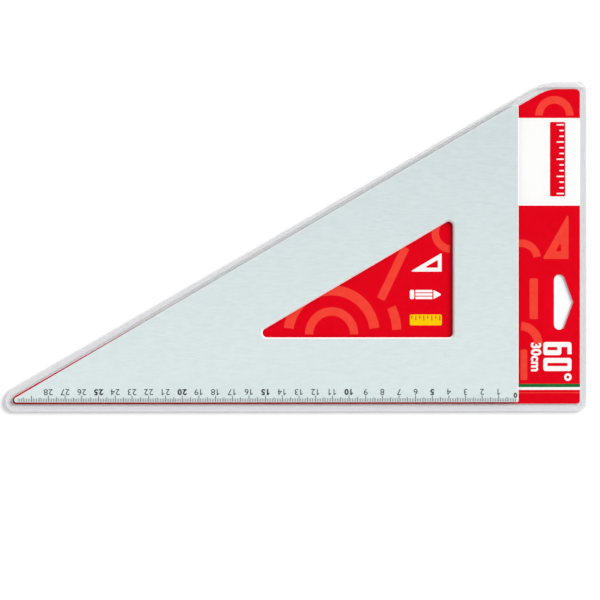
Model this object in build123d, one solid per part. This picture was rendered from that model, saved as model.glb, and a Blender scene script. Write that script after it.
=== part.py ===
# Drafting triangle in its clear wallet. A 30/60/90 set square of sheet aluminium with a millimetre
# scale on its long leg lies on a printed card, between two formed films that are welded at the border.
# Millimetres. The origin is the set square's right-angle corner, on the plane that the wallet lies on.
# +X runs along the long leg towards the header, +Y up the short leg, +Z out of the face with the scale.

import math
import os

from build123d import *

# Set square plate, measured to its sharp corners
long_leg = 306.4
hypotenuse_angle = 30.0
plate_thickness = 2.0
long_leg_band = 38.2
short_leg_band = 39.4
hypotenuse_band = 39.6
tip_radius = 1.5
apex_radius = 2.0
right_angle_radius = 1.0
window_corner_radius = 2.7
window_bevel = 0.9
edge_bevel = 0.3

# Printed millimetre scale along the long leg, counted from the right-angle corner
scale_zero_inset = 1.95
scale_last_mark = 298
mark_start = 0.35
millimetre_mark_width = 0.30
long_mark_width = 0.40
zero_mark_length = 1.6
millimetre_mark_length = 2.0
half_centimetre_mark_length = 2.6
centimetre_mark_length = 3.6
ink_thickness = 0.02

# Insert card, with the header to the right of the plate
card_thickness = 0.4
card_tip_x = -302.9
card_bottom = -1.1
card_end_x = 37.5
card_top = 185.0
card_slope_at_zero = 174.7
card_tip_lower_radius = 2.0
card_tip_upper_radius = 3.0
card_end_lower_radius = 1.8
card_end_upper_radius = 2.7
card_shoulder_radius = 24.0

# Wallet border, and the slope that the card and the wallet share
wallet_slope_angle = 29.53
film_thickness = 0.25
wallet_tip_x = -307.4
wallet_bottom = -5.4
wallet_mouth_x = 41.2
wallet_top = 189.3
wallet_slope_at_zero = 180.0
wallet_tip_lower_radius = 6.0
wallet_tip_upper_radius = 10.0
wallet_mouth_lower_radius = 5.0
wallet_mouth_upper_radius = 6.0
wallet_shoulder_radius = 32.0

# Pocket that the two films form round the card and the plate, measured at the weld, where it is widest
pocket_tip_x = -304.4
pocket_tip_lower_radius = 2.0
pocket_tip_upper_radius = 3.0
pocket_shoulder_radius = 25.0
pocket_card_room = 0.7
pocket_plate_room = 1.6
pocket_wall_taper = 18.0
pocket_past_mouth = 5.0

# Delta hang hole through both films and the card, with its peak towards the header's end
hang_hole_base_x = 21.75
hang_hole_centre_y = 59.0
hang_hole_height = 11.5
hang_hole_slope_angle = 20.4
hang_hole_end_radius = 3.2
hang_hole_peak_radius = 0.6

# Play between the layers that slide on each other
card_play = 0.05
plate_play = 0.10
film_play = 0.15

# Levels of the stacked layers
card_base = film_thickness + card_play
plate_base = card_base + card_thickness + plate_play
plate_top = plate_base + plate_thickness
pocket_ceiling = plate_top + film_play
wallet_height = pocket_ceiling + film_thickness
weld_level = wallet_height / 2

hypotenuse_slope = math.tan(math.radians(hypotenuse_angle))
hypotenuse_rise = 1 / math.cos(math.radians(hypotenuse_angle))
short_leg = long_leg * hypotenuse_slope


def rounded_face(corners, radii):
    """Flat face with straight sides between the corners, each corner rounded by its own radius."""
    return make_face(FilletPolyline(*corners, radius=radii, close=True))


def set_square_corners(bottom=0.0, right=0.0, slope=0.0):
    """Tip, right-angle corner and apex of the set square's triangle, each side moved in by its own inset."""
    slope_at_zero = short_leg - slope * hypotenuse_rise
    return [
        ((bottom - slope_at_zero) / hypotenuse_slope, bottom),
        (-right, bottom),
        (-right, slope_at_zero - right * hypotenuse_slope),
    ]


def sheet_face(tip_x, bottom, end_x, top, slope_at_zero, slope_angle, radii):
    """Triangle with a blunt tip at the left, a header at the right and a shoulder between them."""
    slope = math.tan(math.radians(slope_angle))
    corners = [
        (tip_x, bottom),
        (end_x, bottom),
        (end_x, top),
        ((top - slope_at_zero) / slope, top),
        (tip_x, slope_at_zero + slope * tip_x),
    ]
    return rounded_face(corners, radii)


def wallet_face():
    """Outline that both films are trimmed to."""
    radii = [
        wallet_tip_lower_radius,
        wallet_mouth_lower_radius,
        wallet_mouth_upper_radius,
        wallet_shoulder_radius,
        wallet_tip_upper_radius,
    ]
    return sheet_face(
        wallet_tip_x,
        wallet_bottom,
        wallet_mouth_x,
        wallet_top,
        wallet_slope_at_zero,
        wallet_slope_angle,
        radii,
    )


def pocket_face():
    """Pocket at the weld, clear of the card and the plate, running out past the mouth."""
    radii = [pocket_tip_lower_radius, 0, 0, pocket_shoulder_radius, pocket_tip_upper_radius]
    return sheet_face(
        pocket_tip_x,
        card_bottom - pocket_card_room,
        wallet_mouth_x + pocket_past_mouth,
        card_top + pocket_card_room,
        short_leg + pocket_plate_room * hypotenuse_rise,
        hypotenuse_angle,
        radii,
    )


def hang_hole_cutter():
    """Tall prism of the delta hang hole, taller than the whole stack."""
    half_base = hang_hole_height / math.tan(math.radians(hang_hole_slope_angle))
    corners = [
        (hang_hole_base_x, hang_hole_centre_y - half_base),
        (hang_hole_base_x + hang_hole_height, hang_hole_centre_y),
        (hang_hole_base_x, hang_hole_centre_y + half_base),
    ]
    radii = [hang_hole_end_radius, hang_hole_peak_radius, hang_hole_end_radius]
    prism = extrude(rounded_face(corners, radii), amount=3 * wallet_height)
    return Pos(0, 0, -wallet_height) * prism


def set_square_plate():
    """Sheet plate with a window, a broad bevel round the window's front and a fine bevel on other edges."""
    outline = rounded_face(set_square_corners(), [tip_radius, right_angle_radius, apex_radius])
    window_corners = set_square_corners(long_leg_band, short_leg_band, hypotenuse_band)
    window = rounded_face(window_corners, window_corner_radius)
    plate = extrude(outline - window, amount=plate_thickness)
    plate = chamfer(plate.faces().sort_by(Axis.Z)[-1].inner_wires()[0].edges(), window_bevel)
    front_edges = plate.faces().sort_by(Axis.Z)[-1].outer_wire().edges()
    plate = chamfer(front_edges, edge_bevel)
    plate = chamfer(plate.faces().sort_by(Axis.Z)[0].edges(), edge_bevel)
    return Pos(0, 0, plate_base) * plate


def graduation_mark(millimetre):
    """Ink bar of one graduation, longer and broader at every 5 mm, longest at every 10 mm, short at 0."""
    length = millimetre_mark_length
    width = millimetre_mark_width
    if millimetre % 5 == 0:
        length = half_centimetre_mark_length
        width = long_mark_width
    if millimetre % 10 == 0:
        length = centimetre_mark_length
    if millimetre == 0:
        length = zero_mark_length
    x = -scale_zero_inset - millimetre
    y = mark_start + length / 2
    z = plate_top + ink_thickness / 2
    return Pos(x, y, z) * Box(width, length, ink_thickness)


def graduation_marks():
    """All the bars of the scale, as separate solids on the plate's top face."""
    return Compound([graduation_mark(i) for i in range(scale_last_mark + 1)])


def insert_card():
    """Flat card whose header stands out past the plate's short leg."""
    radii = [
        card_tip_lower_radius,
        card_end_lower_radius,
        card_end_upper_radius,
        card_shoulder_radius,
        card_tip_upper_radius,
    ]
    face = sheet_face(
        card_tip_x,
        card_bottom,
        card_end_x,
        card_top,
        card_slope_at_zero,
        wallet_slope_angle,
        radii,
    )
    sheet = Pos(0, 0, card_base) * extrude(face, amount=card_thickness)
    return sheet - hang_hole_cutter()


def welded_wallet():
    """Both films as they are welded: a flange at mid-height on three sides, walls that lean in above and
    below it, and a flat panel over the plate and under the card."""
    wall_width = film_thickness / math.cos(math.radians(pocket_wall_taper))
    outline = pocket_face()
    upper_crown = extrude(offset(outline, amount=wall_width), amount=weld_level, taper=pocket_wall_taper)
    upper_hollow = extrude(outline, amount=weld_level - film_thickness, taper=pocket_wall_taper)
    crown = upper_crown + mirror(upper_crown, about=Plane.XY)
    hollow = upper_hollow + mirror(upper_hollow, about=Plane.XY)
    flange = extrude(wallet_face(), amount=film_thickness, both=True)
    trim = extrude(wallet_face(), amount=weld_level, both=True)
    wallet = Pos(0, 0, weld_level) * ((flange + crown) & trim - hollow)
    return wallet - hang_hole_cutter()


def front_film(wallet):
    """Flat panel over the plate and the header."""
    return split(wallet, Plane.XY.offset(pocket_ceiling), keep=Keep.TOP)


def back_film(wallet):
    """Flat panel under the card, which the wallet lies on."""
    return split(wallet, Plane.XY.offset(film_thickness), keep=Keep.BOTTOM)


def side_seam(wallet, keep):
    """Walls and weld flange between the panels, on one side of the line that halves the pocket's tip."""
    below_ceiling = split(wallet, Plane.XY.offset(pocket_ceiling), keep=Keep.BOTTOM)
    border = split(below_ceiling, Plane.XY.offset(film_thickness), keep=Keep.TOP)
    half_angle = math.radians(hypotenuse_angle / 2)
    tip_y = card_bottom - pocket_card_room
    tip_x = (tip_y - short_leg - pocket_plate_room * hypotenuse_rise) / hypotenuse_slope
    towards_slope = (-math.sin(half_angle), math.cos(half_angle), 0)
    return split(border, Plane((tip_x, tip_y, 0), z_dir=towards_slope), keep=keep)


os.makedirs("parts", exist_ok=True)
wallet = welded_wallet()
export_step(set_square_plate(), "parts/set_square_plate.step")
export_step(graduation_marks(), "parts/graduation_marks.step")
export_step(insert_card(), "parts/insert_card.step")
export_step(back_film(wallet), "parts/back_film.step")
export_step(front_film(wallet), "parts/front_film.step")
export_step(side_seam(wallet, Keep.BOTTOM), "parts/long_side_seam.step")
export_step(side_seam(wallet, Keep.TOP), "parts/slope_side_seam.step")
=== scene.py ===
import math

import bmesh
import bpy
from mathutils import Matrix, Vector


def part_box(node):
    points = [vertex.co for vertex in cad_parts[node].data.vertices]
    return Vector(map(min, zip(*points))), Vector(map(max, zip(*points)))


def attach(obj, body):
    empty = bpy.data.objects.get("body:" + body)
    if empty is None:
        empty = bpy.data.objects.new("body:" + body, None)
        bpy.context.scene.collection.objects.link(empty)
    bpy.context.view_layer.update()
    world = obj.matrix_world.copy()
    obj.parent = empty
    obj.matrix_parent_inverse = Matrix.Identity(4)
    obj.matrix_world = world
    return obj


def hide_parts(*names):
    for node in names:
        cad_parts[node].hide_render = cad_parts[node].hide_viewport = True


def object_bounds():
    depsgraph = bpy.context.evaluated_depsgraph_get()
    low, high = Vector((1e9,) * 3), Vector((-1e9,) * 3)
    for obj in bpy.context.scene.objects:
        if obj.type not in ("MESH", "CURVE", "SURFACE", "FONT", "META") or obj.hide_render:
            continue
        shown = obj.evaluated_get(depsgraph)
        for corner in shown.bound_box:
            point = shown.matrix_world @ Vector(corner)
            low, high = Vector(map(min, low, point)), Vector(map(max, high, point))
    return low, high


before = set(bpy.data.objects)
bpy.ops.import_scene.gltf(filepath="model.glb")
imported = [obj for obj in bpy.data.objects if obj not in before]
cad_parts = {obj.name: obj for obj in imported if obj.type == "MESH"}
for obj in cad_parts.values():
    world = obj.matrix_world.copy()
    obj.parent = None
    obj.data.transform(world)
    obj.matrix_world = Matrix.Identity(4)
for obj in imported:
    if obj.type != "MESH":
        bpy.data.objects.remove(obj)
cad_low, cad_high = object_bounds()
scene = bpy.context.scene
scene.view_settings.view_transform = "Standard"
scene.cycles.transparent_max_bounces = 32

# Back film of the wallet: clear soft vinyl, drawn by heat into a shallow tray with low leaning walls on
# three sides. The right end is open as half of the wallet's mouth, and the hang hole is punched through
# the panel that the wallet lies on.
mm = 0.001
wallet_low, wallet_high = cad_low / mm, cad_high / mm
card_low, card_high = (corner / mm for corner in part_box("insert_card"))
weld_level = (wallet_low.z + wallet_high.z) / 2
film_gauge = 0.23
# Reach out past the pocket's line and height over the weld, from the film's foot to its panel
film_profile = [(0.26, 0.12), (0.2, 0.3), (-0.08, 1.15), (-0.17, 1.38), (-0.36, 1.54), (-0.68, weld_level)]
mouth_lower_radius = 5.0
mouth_upper_radius = 6.0
pocket_tip_x = -304.4
pocket_card_room = 0.7
pocket_plate_room = 1.6
set_square_angle = math.radians(30)
pocket_slope = math.tan(set_square_angle)
pocket_rise = 1 / math.cos(set_square_angle)
pocket_tip_lower_radius = 2.0
pocket_tip_upper_radius = 3.0
pocket_shoulder_radius = 25.0
plate_long_leg = 306.4
hang_hole_base_x = 21.75
hang_hole_centre_y = 59.0
hang_hole_height = 11.5
hang_hole_slope = math.tan(math.radians(20.4))
hang_hole_end_radius = 3.2
hang_hole_peak_radius = 0.6
corner_steps = 14
soft_bend_angle = math.radians(40)
flat_panel_normal = 0.999
vinyl_mirror_share = 0.04
vinyl_mirror_growth = 5.0
vinyl_mirror_limit = 0.3
vinyl_roughness = 0.06
vinyl_clearness = (0.994, 0.996, 0.998, 1.0)
vinyl_ripple_scale = 22
vinyl_ripple_height = 0.03 * mm
lip_width = 3.7
lip_haze = (0.17, 0.23)
haze_cloud_scale = 60
haze_colour = (0.79, 0.79, 0.81, 1.0)


def empty_material(name):
    """New material with an empty node tree."""
    material = bpy.data.materials.new(name)
    material.use_nodes = True
    material.node_tree.nodes.clear()
    return material


def add_node(tree, kind, inputs=None, **options):
    """Shader node with its options set, and its inputs set to values or joined to other nodes' outputs."""
    made = tree.nodes.new(kind)
    for option, value in options.items():
        setattr(made, option, value)
    for socket, value in (inputs or {}).items():
        if isinstance(value, bpy.types.NodeSocket):
            tree.links.new(value, made.inputs[socket])
        else:
            made.inputs[socket].default_value = value
    return made


def surface_place(tree):
    """Place on the piece, in metres, for textures."""
    return add_node(tree, "ShaderNodeTexCoord").outputs["Object"]


def with_mirror_skin(tree, body):
    """Completes a film whose smooth, softly rippled skin mirrors a little straight on and more at a slant."""
    ripples = add_node(
        tree,
        "ShaderNodeTexNoise",
        {"Vector": surface_place(tree), "Scale": vinyl_ripple_scale, "Detail": 1.0},
    )
    relief = add_node(
        tree,
        "ShaderNodeBump",
        {"Height": ripples.outputs["Fac"], "Strength": 1.0, "Distance": vinyl_ripple_height},
    )
    slant = add_node(
        tree, "ShaderNodeLayerWeight", {"Blend": 0.5, "Normal": relief.outputs["Normal"]}
    )
    steepness = add_node(
        tree, "ShaderNodeMath", {0: slant.outputs["Facing"], 1: vinyl_mirror_growth}, operation="POWER"
    )
    mirrored = add_node(
        tree,
        "ShaderNodeMath",
        {0: steepness.outputs[0], 1: 1 - vinyl_mirror_share, 2: vinyl_mirror_share},
        operation="MULTIPLY_ADD",
    )
    limited = add_node(
        tree, "ShaderNodeMath", {0: mirrored.outputs[0], 1: vinyl_mirror_limit}, operation="MINIMUM"
    )
    gloss = add_node(
        tree,
        "ShaderNodeBsdfGlossy",
        {"Roughness": vinyl_roughness, "Normal": relief.outputs["Normal"]},
    )
    film = add_node(
        tree, "ShaderNodeMixShader", {0: limited.outputs[0], 1: body.outputs[0], 2: gloss.outputs[0]}
    )
    add_node(tree, "ShaderNodeOutputMaterial", {"Surface": film.outputs[0]})


def clear_vinyl():
    """Clear film."""
    material = empty_material("clear_vinyl")
    tree = material.node_tree
    with_mirror_skin(tree, add_node(tree, "ShaderNodeBsdfTransparent", {"Color": vinyl_clearness}))
    return material


def pressed_vinyl(name, haze_share):
    """Film that the heated tool has left unevenly hazy, between two shares."""
    material = empty_material(name)
    tree = material.node_tree
    clouds = add_node(
        tree,
        "ShaderNodeTexNoise",
        {"Vector": surface_place(tree), "Scale": haze_cloud_scale, "Detail": 2.0},
    )
    haze = add_node(
        tree,
        "ShaderNodeMapRange",
        {"Value": clouds.outputs["Fac"], "To Min": haze_share[0], "To Max": haze_share[1]},
    )
    see_through = add_node(tree, "ShaderNodeBsdfTransparent", {"Color": vinyl_clearness})
    scattered = add_node(tree, "ShaderNodeBsdfDiffuse", {"Color": haze_colour})
    body = add_node(
        tree,
        "ShaderNodeMixShader",
        {0: haze.outputs[0], 1: see_through.outputs[0], 2: scattered.outputs[0]},
    )
    with_mirror_skin(tree, body)
    return material


def rounded_outline(corners, radii, arc_steps=10):
    """Loop through the corners in order, with an arc of its own radius at each of them."""
    loop = []
    for index, (corner, radius) in enumerate(zip(corners, radii)):
        corner = Vector(corner)
        if radius == 0:
            loop.append(corner)
            continue
        back = (Vector(corners[index - 1]) - corner).normalized()
        ahead = (Vector(corners[(index + 1) % len(corners)]) - corner).normalized()
        half_angle = back.angle(ahead) / 2
        centre = corner + (back + ahead).normalized() * radius / math.sin(half_angle)
        start = corner + back * radius / math.tan(half_angle) - centre
        end = corner + ahead * radius / math.tan(half_angle) - centre
        first = math.atan2(start.y, start.x)
        sweep = (math.atan2(end.y, end.x) - first + math.pi) % math.tau - math.pi
        for step in range(arc_steps + 1):
            turn = first + sweep * step / arc_steps
            loop.append(centre + radius * Vector((math.cos(turn), math.sin(turn))))
    return loop


def hang_hole_loop():
    """Delta hang hole with its peak towards the header's end."""
    half_base = hang_hole_height / hang_hole_slope
    corners = [
        (hang_hole_base_x, hang_hole_centre_y - half_base),
        (hang_hole_base_x + hang_hole_height, hang_hole_centre_y),
        (hang_hole_base_x, hang_hole_centre_y + half_base),
    ]
    return rounded_outline(corners, [hang_hole_end_radius, hang_hole_peak_radius, hang_hole_end_radius])


def mouth_end(y):
    """Where the mouth's edge lies at a height, with its two rounded corners."""
    into_lower_corner = max(0, wallet_low.y + mouth_lower_radius - y)
    into_upper_corner = max(0, y - wallet_high.y + mouth_upper_radius)
    lower_inset = mouth_lower_radius - math.sqrt(max(0, mouth_lower_radius**2 - into_lower_corner**2))
    upper_inset = mouth_upper_radius - math.sqrt(max(0, mouth_upper_radius**2 - into_upper_corner**2))
    return wallet_high.x - lower_inset - upper_inset


def open_side_loop(bottom, tip_x, top, slope, slope_at_zero, radii):
    """Points from the mouth's lower end round the tip and the shoulder to its upper end."""
    corners = [
        (mouth_end(bottom), bottom),
        (tip_x, bottom),
        (tip_x, slope_at_zero + slope * tip_x),
        ((top - slope_at_zero) / slope, top),
        (mouth_end(top), top),
    ]
    return rounded_outline(corners, [0, *radii, 0], corner_steps)


def pocket_loop(outward):
    """Line round the pocket at the weld, moved outward evenly."""
    return open_side_loop(
        card_low.y - pocket_card_room - outward,
        pocket_tip_x - outward,
        card_high.y + pocket_card_room + outward,
        pocket_slope,
        plate_long_leg * pocket_slope + (pocket_plate_room + outward) * pocket_rise,
        [
            pocket_tip_lower_radius + outward,
            pocket_tip_upper_radius + outward,
            pocket_shoulder_radius + outward,
        ],
    )


def formed_film(name, side, lip=0.0):
    """Mesh of a film from its foot at the weld over its wall to its panel. Side is 1 in front, -1 behind.
    The lip is the width at the mouth that takes the film's second finish."""
    film = bmesh.new()
    rows = []
    for outward, height in film_profile:
        level = weld_level + side * height
        rows.append([film.verts.new((*point, level)) for point in pocket_loop(outward)])
    for lower, upper in zip(rows, rows[1:]):
        for index in range(len(lower) - 1):
            film.faces.new((lower[index], lower[index + 1], upper[index + 1], upper[index]))
    panel_level = level
    mouth_points = [
        (wallet_high.x, wallet_high.y - mouth_upper_radius, panel_level),
        (wallet_high.x, wallet_low.y + mouth_lower_radius, panel_level),
    ]
    rim = rows[-1] + [film.verts.new(point) for point in mouth_points]
    hole = [film.verts.new((*point, panel_level)) for point in hang_hole_loop()]
    panel_edges = []
    for ring_of_points in (rim, hole):
        for index, vertex in enumerate(ring_of_points):
            ends = (ring_of_points[index - 1], vertex)
            panel_edges.append(film.edges.get(ends) or film.edges.new(ends))
    bmesh.ops.triangle_fill(film, edges=panel_edges, use_beauty=True)
    lip_start = wallet_high.x - lip
    everything = film.verts[:] + film.edges[:] + film.faces[:]
    bmesh.ops.bisect_plane(film, geom=everything, plane_co=(lip_start, 0, 0), plane_no=(1, 0, 0))
    for face in film.faces:
        face.material_index = int(face.calc_center_median().x > lip_start)
    bmesh.ops.recalc_face_normals(film, faces=film.faces)
    if side * sum(face.normal.z * face.calc_area() for face in film.faces) < 0:
        bmesh.ops.reverse_faces(film, faces=film.faces)
    bmesh.ops.scale(film, verts=film.verts, vec=(mm, mm, mm))
    skin = bpy.data.meshes.new(name + "_skin")
    film.to_mesh(skin)
    film.free()

    blank = bpy.data.objects.new(name + "_blank", skin)
    scene.collection.objects.link(blank)
    gauge = blank.modifiers.new("gauge", "SOLIDIFY")
    gauge.thickness = film_gauge * mm
    gauge.offset = -1
    gauge.use_even_offset = True
    bpy.context.view_layer.update()
    mesh = bpy.data.meshes.new_from_object(blank.evaluated_get(bpy.context.evaluated_depsgraph_get()))
    bpy.data.objects.remove(blank)
    for face in mesh.polygons:
        face.use_smooth = abs(face.normal.z) < flat_panel_normal
    mesh.set_sharp_from_angle(angle=soft_bend_angle)
    return mesh


def add_piece(name, mesh, finishes, body):
    """Shows a mesh as a piece that moves with a body of the frame."""
    piece = bpy.data.objects.new(name, mesh)
    scene.collection.objects.link(piece)
    for finish in finishes:
        mesh.materials.append(finish)
    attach(piece, body)
    return piece


clear_finish = clear_vinyl()
lip_finish = pressed_vinyl("pressed_lip", lip_haze)
back_mesh = formed_film("back_film", -1, lip_width)
back_film = add_piece("formed_back_film", back_mesh, [clear_finish, lip_finish], "wallet")
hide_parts("back_film")

# Insert card: white board about 0.4 mm thick, die-cut to the wallet's inside with the hang hole through
# it. It slides in under the set square. Its back and its cut edges stay unprinted.
board_white = (253, 253, 251)
board_shade = (248, 248, 246)
board_roughness = (0.55, 0.75)
board_fibre_scale = 1400
board_fibre_height = 0.002 * mm
board_gloss = 0.3
grain_tone_span = (0.3, 0.7)


def finish_node(node_name, material):
    """Gives a solid of the frame its finish."""
    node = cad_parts[node_name]
    node.data.materials.clear()
    node.data.materials.append(material)


def screen_colour(red, green, blue):
    """Shader colour of a colour given as it shows on a screen, 0 to 255."""
    shares = (red / 255, green / 255, blue / 255)
    lights = [s / 12.92 if s <= 0.04045 else ((s + 0.055) / 1.055) ** 2.4 for s in shares]
    return (*lights, 1.0)


def grain_and_relief(tree, scale, height, stretch=(1, 1, 1)):
    """Fine grain over a surface, and the normal of its relief."""
    place = add_node(tree, "ShaderNodeMapping", {"Vector": surface_place(tree), "Scale": stretch})
    grain = add_node(
        tree,
        "ShaderNodeTexNoise",
        {"Vector": place.outputs[0], "Scale": scale, "Detail": 4.0, "Roughness": 0.6},
    )
    relief = add_node(
        tree, "ShaderNodeBump", {"Height": grain.outputs["Fac"], "Strength": 1.0, "Distance": height}
    )
    return grain.outputs["Fac"], relief.outputs["Normal"]


def two_tones(tree, grain, shade, light):
    """Colour that varies with the grain between two screen colours."""
    tones = add_node(tree, "ShaderNodeValToRGB", {"Fac": grain})
    for stop, place, tone in zip(tones.color_ramp.elements, grain_tone_span, (shade, light)):
        stop.position = place
        stop.color = screen_colour(*tone)
    return tones.outputs["Color"]


def varied(tree, grain, low, high):
    """Number that varies with the grain between two values."""
    return add_node(
        tree, "ShaderNodeMapRange", {"Value": grain, "To Min": low, "To Max": high}
    ).outputs[0]


def mottled_finish(name, shade, light, roughness, grain_scale, grain_height, gloss):
    """Opaque finish that varies between two tones and two roughnesses over a fine grain."""
    material = empty_material(name)
    tree = material.node_tree
    grain, relief = grain_and_relief(tree, grain_scale, grain_height)
    surface = add_node(
        tree,
        "ShaderNodeBsdfPrincipled",
        {
            "Base Color": two_tones(tree, grain, shade, light),
            "Roughness": varied(tree, grain, *roughness),
            "Specular IOR Level": gloss,
            "Normal": relief,
        },
    )
    add_node(tree, "ShaderNodeOutputMaterial", {"Surface": surface.outputs[0]})
    return material


white_board = mottled_finish(
    "white_board",
    board_shade,
    board_white,
    board_roughness,
    board_fibre_scale,
    board_fibre_height,
    board_gloss,
)
finish_node("insert_card", white_board)

# Red ground of the card: one flat coat of offset ink over the whole face, up to a narrow bare margin at
# the cut edge. It leaves out a white panel and a striped band across the header, and the hang hole.
bare_margin = 0.1
ink_thickness = 0.008
ink_gap = 0.002
joint_tolerance = 0.0005
ground_level = card_high.z + ink_gap
ground_layer = 0
ground_shade = (222, 1, 23)
ground_light = (229, 2, 28)
ink_roughness = (0.4, 0.52)
ink_mottle_scale = 260
ink_mottle_height = 0.0015 * mm
ink_gloss = 0.05
card_slope = math.tan(math.radians(29.53))
card_slope_at_zero = 174.7
card_tip_lower_radius = 2.0
card_tip_upper_radius = 3.0
card_end_lower_radius = 1.8
card_end_upper_radius = 2.7
card_shoulder_radius = 24.0
header_left = -4.0
panel_bottom = 116.0
panel_top = 167.7
band_bottom = 7.2
band_top = 10.8


def card_ground_loop():
    """Card's outline less the bare margin, notched from the right by the white panel and the band."""
    tip_x = card_low.x + bare_margin
    bottom = card_low.y + bare_margin
    end_x = card_high.x - bare_margin
    top = card_high.y - bare_margin
    slope_at_zero = card_slope_at_zero - bare_margin * math.sqrt(1 + card_slope**2)
    corners = [
        (tip_x, bottom),
        (end_x, bottom),
        (end_x, band_bottom),
        (header_left, band_bottom),
        (header_left, band_top),
        (end_x, band_top),
        (end_x, panel_bottom),
        (header_left, panel_bottom),
        (header_left, panel_top),
        (end_x, panel_top),
        (end_x, top),
        ((top - slope_at_zero) / card_slope, top),
        (tip_x, slope_at_zero + card_slope * tip_x),
    ]
    notches = [0] * 8
    radii = [
        card_tip_lower_radius,
        card_end_lower_radius,
        *notches,
        card_end_upper_radius,
        card_shoulder_radius,
        card_tip_upper_radius,
    ]
    return rounded_outline(corners, radii)


def sheet_mesh(name, loops, level, thickness):
    """Thin closed sheet from a level up, filled inside the loops, where a loop within another is a hole."""
    curve = bpy.data.curves.new(name, "CURVE")
    curve.dimensions = "2D"
    curve.fill_mode = "BOTH"
    curve.extrude = thickness / 2
    for loop in loops:
        spline = curve.splines.new("POLY")
        spline.points.add(len(loop) - 1)
        spline.use_cyclic_u = True
        for point, (x, y) in zip(spline.points, loop):
            point.co = (x, y, 0, 1)
    return welded_mesh(curve, level + thickness / 2)


def welded_mesh(curve, level):
    """Closed mesh of a filled curve drawn in millimetres, set at a level and turned into metres."""
    drawing = bpy.data.objects.new(curve.name, curve)
    mesh = bpy.data.meshes.new_from_object(drawing)
    bpy.data.objects.remove(drawing)
    made = bmesh.new()
    made.from_mesh(mesh)
    bmesh.ops.remove_doubles(made, verts=made.verts, dist=joint_tolerance)
    bmesh.ops.recalc_face_normals(made, faces=made.faces)
    bmesh.ops.translate(made, verts=made.verts, vec=(0, 0, level))
    bmesh.ops.scale(made, verts=made.verts, vec=(mm, mm, mm))
    made.to_mesh(mesh)
    made.free()
    return mesh


def offset_ink(name, shade, light):
    """Semi-matt printing ink with a faint mottle."""
    return mottled_finish(
        name, shade, light, ink_roughness, ink_mottle_scale, ink_mottle_height, ink_gloss
    )


def print_on_card(name, shapes, layer, ink):
    """Prints shapes on the card in one ink. Each layer lies on the last, from the ground up."""
    loops = [loop for shape in shapes for loop in shape]
    level = ground_level + layer * (ink_thickness + ink_gap)
    mesh = sheet_mesh(name, loops, level, ink_thickness)
    return add_piece(name, mesh, [ink], "card")


red_ink = offset_ink("red_ink", ground_shade, ground_light)
print_on_card("card_red_ground", [[card_ground_loop(), hang_hole_loop()]], ground_layer, red_ink)

# Tone-on-tone ornament of the red ground: large drawing-tool shapes in a lighter red, overprinted in one
# ink. Set squares, protractor arcs and rulers are strewn over the whole card, also under the plate.
ornament_shade = (241, 64, 50)
ornament_light = (245, 72, 56)
ornament_layer = 1
ruler_corner_radius = 0.8
largest_rounding_share = 0.4
set_square_rounding_share = 0.02
small_corner_steps = 4


def arc_loop(centre, radius, start_degrees, end_degrees, steps=24):
    """Points along an arc."""
    points = []
    for step in range(steps + 1):
        turn = math.radians(start_degrees + (end_degrees - start_degrees) * step / steps)
        points.append(Vector(centre) + radius * Vector((math.cos(turn), math.sin(turn))))
    return points


def arc_band(centre, outer_radius, width, start_degrees, end_degrees):
    """Band along an arc, closed at both ends."""
    outer = arc_loop(centre, outer_radius, start_degrees, end_degrees)
    inner = arc_loop(centre, outer_radius - width, end_degrees, start_degrees)
    return [outer + inner]


def ruler(centre, length, width, turn_degrees, corner_radius=ruler_corner_radius):
    """Straight bar with slightly rounded corners."""
    along = Matrix.Rotation(math.radians(turn_degrees), 2)
    corners = [(-1, -1), (1, -1), (1, 1), (-1, 1)]
    placed = [Vector(centre) + along @ Vector((x * length / 2, y * width / 2)) for x, y in corners]
    rounding = min(corner_radius, largest_rounding_share * length, largest_rounding_share * width)
    return [rounded_outline(placed, [rounding] * 4, small_corner_steps)]


def small_set_square(corner, long_leg, band, turn_degrees, mirrored=False):
    """Outline of a 30/60/90 set square with its window, placed by its right-angle corner."""
    along = Matrix.Rotation(math.radians(turn_degrees), 2)
    loops = []
    for inset in (0, band):
        height_at_corner = long_leg * pocket_slope - inset * pocket_rise
        corners = [
            (-(height_at_corner - inset) / pocket_slope, inset),
            (-inset, inset),
            (-inset, height_at_corner - inset * pocket_slope),
        ]
        if mirrored:
            corners = [(x, -y) for x, y in corners]
        placed = [Vector(corner) + along @ Vector(point) for point in corners]
        rounding = set_square_rounding_share * long_leg
        loops.append(rounded_outline(placed, [rounding] * 3, small_corner_steps))
    return loops


# Arcs: centre, radius, width, angles. Rulers: centre, length, width, turn. Squares: corner, leg, band, turn
window_ornament = [
    arc_band((-112, 40), 29, 6, 8, 172),
    arc_band((-112, 40), 16, 5, 0, 180),
    arc_band((-112, 40), 42, 5.5, 4, 24),
    ruler((-75, 76), 34, 5, 64),
    arc_band((-40, 100), 12, 4.5, 95, 265),
]
header_ornament = [
    arc_band((22, 169.2), 11.5, 4.5, 0, 180),
    small_set_square((30.5, 84.5), 27, 4.5, -90, mirrored=True),
    arc_band((2, 84), 12, 4.5, 10, 100),
    ruler((9.5, 61), 24, 5, 90),
    arc_band((1, 33.5), 14, 5, 5, 85),
    ruler((3.6, 22), 18, 4, 90),
]
covered_ornament = [
    arc_band((-30, 130), 18, 6, 30, 200),
    small_set_square((-58, 108), 42, 6, 0),
    ruler((-18, 62), 70, 6, 90),
    ruler((-72, 16), 70, 6, 0),
    small_set_square((-120, 6), 36, 5, 0),
    small_set_square((-148, 20), 34, 4.5, 0),
    arc_band((-212, 20), 24, 6, 0, 150),
    ruler((-250, 14), 30, 5, 30),
    arc_band((-276, 2), 9, 3.5, 20, 160),
]
ornament_ink = offset_ink("light_red_ink", ornament_shade, ornament_light)
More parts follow.
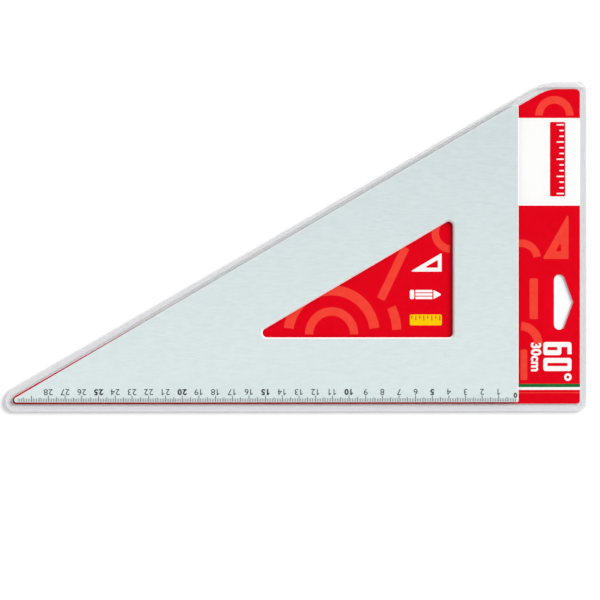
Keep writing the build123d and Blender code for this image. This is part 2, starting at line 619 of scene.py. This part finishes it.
ornament_shapes = window_ornament + header_ornament + covered_ornament
print_on_card("card_ornament", ornament_shapes, ornament_layer, ornament_ink)

# Pictograms in the window: three drawing tools one above the other, in white ink and yellow ink, where a
# buyer sees them through the plate. They are overprinted on the red ground beside the ornament.
pictogram_x = -55.4
pictogram_layer = 2
white_shade = (247, 247, 245)
white_light = (253, 253, 251)
yellow_shade = (253, 200, 0)
yellow_light = (255, 210, 8)
icon_square_y = 77.0
icon_square_leg = 19.0
icon_square_band = 2.3
pencil_y = 63.5
pencil_length = 19.2
pencil_width = 5.4
pencil_cap_length = 2.6
pencil_point_length = 5.0
pencil_point_radii = [0.3, 0.5, 0.3]
pencil_joint_gap = 0.7
pencil_facet_gap = 0.55
pencil_facet_radius = 0.2
icon_ruler_y = 48.5
icon_ruler_length = 19.2
icon_ruler_width = 6.4
icon_ruler_ticks = 8
icon_ruler_tick_lengths = (2.0, 3.0)
icon_ruler_tick_width = 0.6
icon_ruler_tick_inset = 0.6
white_ink = offset_ink("white_ink", white_shade, white_light)
yellow_ink = offset_ink("yellow_ink", yellow_shade, yellow_light)

icon_square_corner = (pictogram_x + icon_square_leg / 2, icon_square_y)
pencil_left = pictogram_x - pencil_length / 2
pencil_end = pictogram_x + pencil_length / 2
barrel_left = pencil_left + pencil_cap_length + pencil_joint_gap
barrel_right = pencil_end - pencil_point_length - pencil_joint_gap
barrel_middle = (barrel_left + barrel_right) / 2
barrel_length = barrel_right - barrel_left
facet_width = (pencil_width - 2 * pencil_facet_gap) / 3
pencil_point = [
    (pencil_end - pencil_point_length, pencil_y - pencil_width / 2),
    (pencil_end, pencil_y),
    (pencil_end - pencil_point_length, pencil_y + pencil_width / 2),
]
white_shapes = [
    small_set_square(icon_square_corner, icon_square_leg, icon_square_band, 0),
    ruler((pencil_left + pencil_cap_length / 2, pencil_y), pencil_cap_length, pencil_width, 0),
    [rounded_outline(pencil_point, pencil_point_radii, small_corner_steps)],
]
for facet in (-1, 0, 1):
    facet_y = pencil_y + facet * (facet_width + pencil_facet_gap)
    white_shapes.append(
        ruler((barrel_middle, facet_y), barrel_length, facet_width, 0, pencil_facet_radius)
    )
print_on_card("window_white_pictograms", white_shapes, pictogram_layer, white_ink)

yellow_shapes = [ruler((pictogram_x, icon_ruler_y), icon_ruler_length, icon_ruler_width, 0)]
for tick in range(icon_ruler_ticks):
    tick_x = pictogram_x + icon_ruler_length * ((tick + 0.5) / icon_ruler_ticks - 0.5)
    tick_length = icon_ruler_tick_lengths[tick % len(icon_ruler_tick_lengths)]
    tick_y = icon_ruler_y + icon_ruler_width / 2 - icon_ruler_tick_inset - tick_length / 2
    yellow_shapes.append(ruler((tick_x, tick_y), icon_ruler_tick_width, tick_length, 0))
print_on_card("window_yellow_pictogram", yellow_shapes, pictogram_layer, yellow_ink)

# Header of the card: on the bare white panel a red ruler, and above the foot a band of green over bare
# white with a fine line under it. They are printed with the ground, and show to the right of the plate.
header_ruler_centre = (23.9, 143.4)
header_ruler_length = 44.0
header_ruler_width = 9.2
header_ruler_ticks = 13
header_ruler_tick_lengths = (4.4, 2.8, 2.8)
header_ruler_tick_width = 0.8
header_ruler_tick_inset = 0.8
green_shade = (31, 104, 50)
green_light = (38, 114, 58)
green_bottom = 8.82
foot_line_y = 5.5
foot_line_width = 0.45


def header_bar(bottom, top):
    """Bar across the header from its left edge to the card's bare margin."""
    end_x = card_high.x - bare_margin
    return [[(header_left, bottom), (end_x, bottom), (end_x, top), (header_left, top)]]


red_shapes = [ruler(header_ruler_centre, header_ruler_width, header_ruler_length, 0)]
header_ruler_x, header_ruler_y = header_ruler_centre
for tick in range(header_ruler_ticks):
    tick_y = header_ruler_y + header_ruler_length * ((tick + 0.5) / header_ruler_ticks - 0.5)
    tick_length = header_ruler_tick_lengths[tick % len(header_ruler_tick_lengths)]
    tick_x = header_ruler_x + header_ruler_width / 2 - header_ruler_tick_inset - tick_length / 2
    red_shapes.append(ruler((tick_x, tick_y), tick_length, header_ruler_tick_width, 0))
print_on_card("header_red_pictogram", red_shapes, ground_layer, red_ink)
green_ink = offset_ink("green_ink", green_shade, green_light)
print_on_card("header_green_band", [header_bar(green_bottom, band_top)], ground_layer, green_ink)
foot_line = header_bar(foot_line_y - foot_line_width / 2, foot_line_y + foot_line_width / 2)
print_on_card("header_foot_line", [foot_line], ornament_layer, ornament_ink)

# Size marks of the header: the angle and the scale's length in white, set to be read from the end of the
# header. The angle has broad block figures, and the length is set smaller below them.
figure_foot_x = 15.3
figure_top_x = 32.3
six_top_y = 35.45
figure_width = 7.75
figure_pitch = 9.4
figure_stroke = 2.45
figure_corner_radius = 1.5
figure_corner_steps = 5
figure_slot = 1.9
slot_corner_radius = 0.4
six_shoulder_x = 26.2
six_notch_x = 29.8
six_arm_inset = 0.6
degree_centre = (30.1, 14.7)
degree_radius = 2.25
degree_stroke = 1.35
ring_steps = 24
length_text = "30cm"
length_foot_x = 7.8
length_height = 6.3
length_start_y = 35.05
length_end_y = 18.15
length_boldness = 0.22


def block(left, bottom, right, top, radius):
    """Upright rectangle with rounded corners."""
    corners = [(left, bottom), (right, bottom), (right, top), (left, top)]
    return rounded_outline(corners, [radius] * 4, figure_corner_steps)


def figure_hole(bottom_y, top_x):
    """Narrow slot inside a block figure, up to a stroke below a height."""
    middle_y = bottom_y + figure_width / 2
    return block(
        figure_foot_x + figure_stroke,
        middle_y - figure_slot / 2,
        top_x - figure_stroke,
        middle_y + figure_slot / 2,
        slot_corner_radius,
    )


def block_zero(top_y):
    """Block figure 0 whose top points along +X."""
    bottom_y = top_y - figure_width
    outside = block(figure_foot_x, bottom_y, figure_top_x, top_y, figure_corner_radius)
    return [outside, figure_hole(bottom_y, figure_top_x)]


def block_six(top_y):
    """Block figure 6 whose top points along +X, open between its top stroke and its bowl."""
    bottom_y = top_y - figure_width
    notch_y = bottom_y + (figure_width + figure_slot) / 2
    arm_end = bottom_y + six_arm_inset
    corners = [
        (figure_foot_x, bottom_y),
        (six_shoulder_x, bottom_y),
        (six_shoulder_x, notch_y),
        (six_notch_x, notch_y),
        (six_notch_x, arm_end),
        (figure_top_x, arm_end),
        (figure_top_x, top_y),
        (figure_foot_x, top_y),
    ]
    foot = [figure_corner_radius] * 2
    notch = [0] * 4
    back = [figure_corner_radius] * 2
    outside = rounded_outline(corners, [*foot, *notch, *back], figure_corner_steps)
    return [outside, figure_hole(bottom_y, six_shoulder_x)]


def full_ring(centre, outer_radius, width):
    """Full ring."""
    last_turn = 360 - 360 / ring_steps
    radii = (outer_radius, outer_radius - width)
    return [arc_loop(centre, radius, 0, last_turn, ring_steps - 1) for radius in radii]


def lettering(text, size, thickness, boldness):
    """Curve of a line of plain figures, in millimetres."""
    curve = bpy.data.curves.new("lettering", "FONT")
    curve.body = text
    curve.size = size
    curve.offset = boldness
    curve.extrude = thickness / 2
    curve.fill_mode = "BOTH"
    return curve


def mesh_box(mesh):
    """Lowest and highest corner of a mesh in its own plane, in millimetres."""
    across = [vertex.co.x / mm for vertex in mesh.vertices]
    along = [vertex.co.y / mm for vertex in mesh.vertices]
    return Vector((min(across), min(along))), Vector((max(across), max(along)))


def fit_mesh(mesh, low, high):
    """Moves and stretches a mesh in its own plane so that it fills a box, given in millimetres."""
    old_low, old_high = mesh_box(mesh)
    for axis in (0, 1):
        scale = (high[axis] - low[axis]) / (old_high[axis] - old_low[axis])
        for vertex in mesh.vertices:
            vertex.co[axis] = low[axis] * mm + (vertex.co[axis] - old_low[axis] * mm) * scale


angle_figures = [
    block_six(six_top_y),
    block_zero(six_top_y - figure_pitch),
    full_ring(degree_centre, degree_radius, degree_stroke),
]
print_on_card("header_angle_figures", angle_figures, pictogram_layer, white_ink)

figure_level = ground_level + pictogram_layer * (ink_thickness + ink_gap)
length_curve = lettering(length_text, length_height, ink_thickness, length_boldness)
length_mesh = welded_mesh(length_curve, figure_level + ink_thickness / 2)
length_mesh.transform(Matrix.Rotation(math.radians(-90), 4, "Z"))
fit_mesh(length_mesh, (length_foot_x, length_end_y), (length_foot_x + length_height, length_start_y))
add_piece("header_length_figures", length_mesh, [white_ink], "card")

# Set square plate: 2 mm sheet aluminium, milled to a 30/60/90 triangle with a window. Its satin anodised
# faces carry painted light that makes them paler towards the long leg, its bevels are painted near white,
# partly as the paler cut metal and partly as a painted highlight, and its sides are painted dark as shade. It
# lies loose on the card.
plate_shade = (221, 231, 232)
plate_light = (235, 246, 245)
# Painted light: share of the pale tone at the long leg and at the apex, so the faces grow darker upward.
painted_light_at_long_leg = 0.33
painted_light_at_apex = -0.02
plate_grain_strength = 0.7
# Bevel colour: partly the paler bare metal of the cut, partly a painted highlight.
bevel_pale_metal_and_highlight = (250, 252, 252)
# Side colour: painted shade, a dark grey in place of the shade and dark mirror image on the cut sides.
side_painted_shade = (62, 66, 68)
plate_roughness = (0.46, 0.6)
bevel_roughness = 0.45
plate_metal_share = 0.2
bevel_metal_share = 0.1
plate_grain_scale = 900
plate_grain_height = 0.004 * mm
plate_grain_stretch = (0.25, 1, 1)
bevel_steepness = math.cos(math.radians(45))
side_steepness = math.cos(math.radians(90))
slant_tolerance = 0.15


def satin_aluminium():
    """Aluminium with fine satin streaks along the long leg on its faces, painted light that pales them
    towards the long leg, bevels painted near white as partly a painted highlight, and sides painted dark as
    shade.
    """
    material = empty_material("satin_aluminium")
    tree = material.node_tree
    grain, relief = grain_and_relief(tree, plate_grain_scale, plate_grain_height, plate_grain_stretch)
    direction = add_node(tree, "ShaderNodeNewGeometry").outputs["True Normal"]
    upward = add_node(tree, "ShaderNodeSeparateXYZ", {0: direction}).outputs["Z"]
    steepness = add_node(tree, "ShaderNodeMath", {0: upward}, operation="ABSOLUTE").outputs[0]
    on_bevel, on_side = (
        add_node(
            tree, "ShaderNodeMath", {0: steepness, 1: wanted, 2: slant_tolerance}, operation="COMPARE"
        ).outputs[0]
        for wanted in (bevel_steepness, side_steepness)
    )
    height = add_node(tree, "ShaderNodeSeparateXYZ", {0: surface_place(tree)}).outputs["Y"]
    # Painted light: the face colour fades from paler at the long leg to darker at the apex.
    painted_light_fade = add_node(
        tree,
        "ShaderNodeMapRange",
        {
            "Value": height,
            "From Max": plate_long_leg * pocket_slope * mm,
            "To Min": painted_light_at_long_leg,
            "To Max": painted_light_at_apex,
        },
    ).outputs[0]
    grain_and_painted_light = add_node(
        tree, "ShaderNodeMath", {0: grain, 1: plate_grain_strength, 2: painted_light_fade}, operation="MULTIPLY_ADD"
    ).outputs[0]
    colour = two_tones(tree, grain_and_painted_light, plate_shade, plate_light)
    # Bevels get a near-white colour, partly pale metal and partly painted highlight; sides get a dark colour,
    # which is painted shade.
    for place, tone in ((on_bevel, bevel_pale_metal_and_highlight), (on_side, side_painted_shade)):
        colour = add_node(
            tree, "ShaderNodeMix", {0: place, 6: colour, 7: screen_colour(*tone)}, data_type="RGBA"
        ).outputs[2]
    polish = add_node(
        tree,
        "ShaderNodeMix",
        {0: on_bevel, 2: varied(tree, grain, *plate_roughness), 3: bevel_roughness},
        data_type="FLOAT",
    ).outputs[0]
    metal = add_node(
        tree,
        "ShaderNodeMapRange",
        {"Value": on_bevel, "To Min": plate_metal_share, "To Max": bevel_metal_share},
    ).outputs[0]
    surface = add_node(
        tree,
        "ShaderNodeBsdfPrincipled",
        {
            "Base Color": colour,
            "Metallic": metal,
            "Roughness": polish,
            "Normal": relief,
        },
    )
    add_node(tree, "ShaderNodeOutputMaterial", {"Surface": surface.outputs[0]})
    return material


finish_node("set_square_plate", satin_aluminium())

# Millimetre scale: 299 bars of black ink along the long leg, printed on the plate through a screen and
# sealed under the anodised skin, longer at every 5 mm and longest at every 10 mm.
scale_ink_shade = (24, 26, 28)
scale_ink_light = (40, 42, 44)
scale_ink_roughness = (0.45, 0.6)
scale_ink_grain_scale = 2400
scale_ink_grain_height = 0.001 * mm
scale_ink_gloss = 0.3
scale_ink = mottled_finish(
    "scale_ink",
    scale_ink_shade,
    scale_ink_light,
    scale_ink_roughness,
    scale_ink_grain_scale,
    scale_ink_grain_height,
    scale_ink_gloss,
)
finish_node("graduation_marks", scale_ink)

# Figures of the scale, printed with the bars: centimetres counted from the right-angle corner, with their
# tops towards the long leg, because they are read from that side. Every fifth figure is bold.
marks_low, marks_high = (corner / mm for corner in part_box("graduation_marks"))
scale_zero_x = -1.95
centimetre = 10.0
last_figure = 28
bold_figure_step = 5
scale_figure_y = 6.05
scale_figure_height = 3.55
scale_figure_stretch = 1.08
zero_figure_y = 4.0
zero_figure_height = 3.0
digit_pitch = 2.95
plain_weight = 0.0
bold_weight = 0.13
plain_one_stroke = 0.5
bold_one_stroke = 0.8
one_width_share = 0.42
one_flag_share = 0.77
one_flag_underside_share = 0.8
scale_ink_thickness = marks_high.z - marks_low.z


def flagged_one(height, stroke):
    """Loop of a figure 1 with a slanted flag, standing on y = 0 from x = 0 on."""
    right = one_width_share * height
    stem_left = right - stroke
    flag_top = one_flag_share * height
    flag_rise = height - flag_top
    return [
        (stem_left, 0),
        (right, 0),
        (right, height),
        (stem_left, height),
        (0, flag_top),
        (0, flag_top - stroke),
        (stem_left, flag_top - stroke + one_flag_underside_share * flag_rise),
    ]


def digit_mesh(digit, middle, height, bold):
    """Mesh of one digit of the scale about the middle of its cell, standing on y = 0."""
    if digit == "1":
        loop = flagged_one(height, bold_one_stroke if bold else plain_one_stroke)
        mesh = sheet_mesh("digit", [loop], marks_low.z, scale_ink_thickness)
        width = one_width_share * height
    else:
        curve = lettering(digit, height, scale_ink_thickness, bold_weight if bold else plain_weight)
        mesh = welded_mesh(curve, marks_low.z + scale_ink_thickness / 2)
        low, high = mesh_box(mesh)
        width = scale_figure_stretch * height * (high.x - low.x) / (high.y - low.y)
    fit_mesh(mesh, (middle - width / 2, 0), (middle + width / 2, height))
    return mesh


def scale_figure(number):
    """Meshes of the digits of one figure of the scale, upside down in their place."""
    height = zero_figure_height if number == 0 else scale_figure_height
    middle_y = zero_figure_y if number == 0 else scale_figure_y
    foot = Vector((scale_zero_x - number * centimetre, middle_y + height / 2, 0))
    turn = Matrix.Translation(foot * mm) @ Matrix.Diagonal((-1, -1, 1, 1))
    digits = []
    for index, digit in enumerate(str(number)):
        middle = (index - (len(str(number)) - 1) / 2) * digit_pitch
        mesh = digit_mesh(digit, middle, height, number % bold_figure_step == 0)
        mesh.transform(turn)
        digits.append(mesh)
    return digits


joined_figures = bmesh.new()
for number in range(last_figure + 1):
    for digit in scale_figure(number):
        joined_figures.from_mesh(digit)
figures_mesh = bpy.data.meshes.new("scale_figures")
joined_figures.to_mesh(figures_mesh)
joined_figures.free()
add_piece("scale_figures", figures_mesh, [scale_ink], "set_square")

# Front film of the wallet: the same clear vinyl, formed the other way up over the plate and the header.
# The hang hole goes through its panel too, and its right end is the other half of the mouth.
front_mesh = formed_film("front_film", 1)
front_film = add_piece("formed_front_film", front_mesh, [clear_finish], "wallet")
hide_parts("front_film")

# Weld of the wallet: the flange where both films are pressed and fused into one strip round three sides,
# hazy from the heated tool, with a bead left along each side of the pressed track and a die-cut rim.
wallet_slope_at_zero = 180.0
wallet_tip_lower_radius = 6.0
wallet_tip_upper_radius = 10.0
wallet_shoulder_radius = 32.0
weld_haze = (0.4, 0.44)
weld_inner_reach = 0.28
# Share of the way from the die-cut rim to the pocket, and height over the weld's level
weld_profile = [
    (0.0, 0.12),
    (0.03, 0.18),
    (0.09, 0.22),
    (0.2, 0.22),
    (0.26, 0.14),
    (0.42, 0.14),
    (0.58, 0.14),
    (0.74, 0.14),
    (0.8, 0.22),
    (1.0, 0.2),
]


def wallet_loop():
    """Wallet's die-cut outline."""
    return open_side_loop(
        wallet_low.y,
        wallet_low.x,
        wallet_high.y,
        card_slope,
        wallet_slope_at_zero,
        [wallet_tip_lower_radius, wallet_tip_upper_radius, wallet_shoulder_radius],
    )


def weld_mesh():
    """Closed strip between the wallet's outline and the pocket, alike above and below the weld's level."""
    outer = wallet_loop()
    inner = pocket_loop(weld_inner_reach)
    below = [(share, -height) for share, height in reversed(weld_profile)]
    strip = bmesh.new()
    rows = []
    for share, height in weld_profile + below:
        loop = [rim_point.lerp(pocket_point, share) for rim_point, pocket_point in zip(outer, inner)]
        for end in (loop[0], loop[-1]):
            end.x = mouth_end(end.y)
        rows.append([strip.verts.new((*point, weld_level + height)) for point in loop])
    for index, row in enumerate(rows):
        last = rows[index - 1]
        for step in range(len(row) - 1):
            strip.faces.new((last[step], last[step + 1], row[step + 1], row[step]))
    strip.faces.new([row[0] for row in rows])
    strip.faces.new([row[-1] for row in rows])
    bmesh.ops.recalc_face_normals(strip, faces=strip.faces)
    bmesh.ops.scale(strip, verts=strip.verts, vec=(mm, mm, mm))
    mesh = bpy.data.meshes.new("weld")
    strip.to_mesh(mesh)
    strip.free()
    for face in mesh.polygons:
        face.use_smooth = True
    mesh.set_sharp_from_angle(angle=soft_bend_angle)
    return mesh


weld_finish = pressed_vinyl("pressed_weld", weld_haze)
weld = add_piece("welded_border", weld_mesh(), [weld_finish], "wallet")
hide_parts("long_side_seam", "slope_side_seam")

# Floor: a wide sheet of plain white paper that the wallet lies on.
floor_half_size = 12.0
floor_level = -0.05 * mm
floor_shade = (237, 237, 237)
floor_light = (239, 239, 239)
paper_roughness = (0.9, 1.0)
paper_grain_scale = 300
paper_grain_height = 0.0
paper_gloss = 0.0
floor_corners = [(-1, -1), (1, -1), (1, 1), (-1, 1)]
floor_mesh = bpy.data.meshes.new("floor")
floor_mesh.from_pydata(
    [(x * floor_half_size, y * floor_half_size, floor_level) for x, y in floor_corners],
    [],
    [(0, 1, 2, 3)],
)
floor = bpy.data.objects.new("floor", floor_mesh)
scene.collection.objects.link(floor)
white_paper = mottled_finish(
    "white_paper",
    floor_shade,
    floor_light,
    paper_roughness,
    paper_grain_scale,
    paper_grain_height,
    paper_gloss,
)
floor_mesh.materials.append(white_paper)

# Studio light: one large soft lamp from the right and a little from the top, polarised so that no film
# mirrors it, pale walls all round that are brightest at the horizon, and a dark ceiling.
lamp_bearing = math.radians(31)
lamp_elevation = math.radians(32)
lamp_distance = 36.0
lamp_size = 20.0
lamp_power = 18000
# Rise of the direction, 0 at the horizon and 1 overhead, and the light that comes from there
sky_stops = [(0.0, 0.85), (0.35, 0.72), (0.9, 0.6), (0.95, 0.01)]
lamp_side = Vector((math.cos(lamp_bearing), math.sin(lamp_bearing), 0))
world = bpy.data.worlds.new("studio")
scene.world = world
world.use_nodes = True
world_tree = world.node_tree
world_tree.nodes.clear()
sky_direction = add_node(world_tree, "ShaderNodeTexCoord").outputs["Generated"]
sky_height = add_node(world_tree, "ShaderNodeSeparateXYZ", {0: sky_direction}).outputs["Z"]
sky_ramp = add_node(world_tree, "ShaderNodeValToRGB", {"Fac": sky_height})
sky_tones = sky_ramp.color_ramp.elements
while len(sky_tones) < len(sky_stops):
    sky_tones.new(0.5)
for tone, (height, light) in zip(sky_tones, sky_stops):
    tone.position = height
    tone.color = (light, light, light, 1.0)
sky = add_node(world_tree, "ShaderNodeBackground", {"Color": sky_ramp.outputs["Color"]})
add_node(world_tree, "ShaderNodeOutputWorld", {"Surface": sky.outputs[0]})

object_centre = (cad_low + cad_high) / 2
lamp = bpy.data.lights.new("key_lamp", "AREA")
lamp.size = lamp_size
lamp.energy = lamp_power
towards_lamp = lamp_side * math.cos(lamp_elevation) + Vector((0, 0, math.sin(lamp_elevation)))
lamp_object = bpy.data.objects.new("key_lamp", lamp)
lamp_object.location = object_centre + lamp_distance * towards_lamp
lamp_object.rotation_euler = towards_lamp.to_track_quat("Z", "Y").to_euler()
lamp_object.visible_camera = False
lamp_object.visible_glossy = False
scene.collection.objects.link(lamp_object)

# Camera: a very long lens almost straight above, leaning a little to the tip's side.
picture_centre = Vector((-131.37, 60.25, marks_low.z))
picture_width = 353.36
camera_lean = math.radians(10.87)
camera_distance = 12.0
camera_sight = 20.0
sensor_width = 36.0
camera_data = bpy.data.cameras.new("camera")
camera_data.sensor_width = sensor_width
camera_data.lens = sensor_width * camera_distance / (picture_width * mm)
camera_data.clip_end = camera_sight
camera = bpy.data.objects.new("camera", camera_data)
camera_direction = Vector((-math.sin(camera_lean), 0, math.cos(camera_lean)))
camera.location = picture_centre * mm + camera_distance * camera_direction
camera.rotation_euler = (0, -camera_lean, 0)
scene.collection.objects.link(camera)
scene.camera = camera
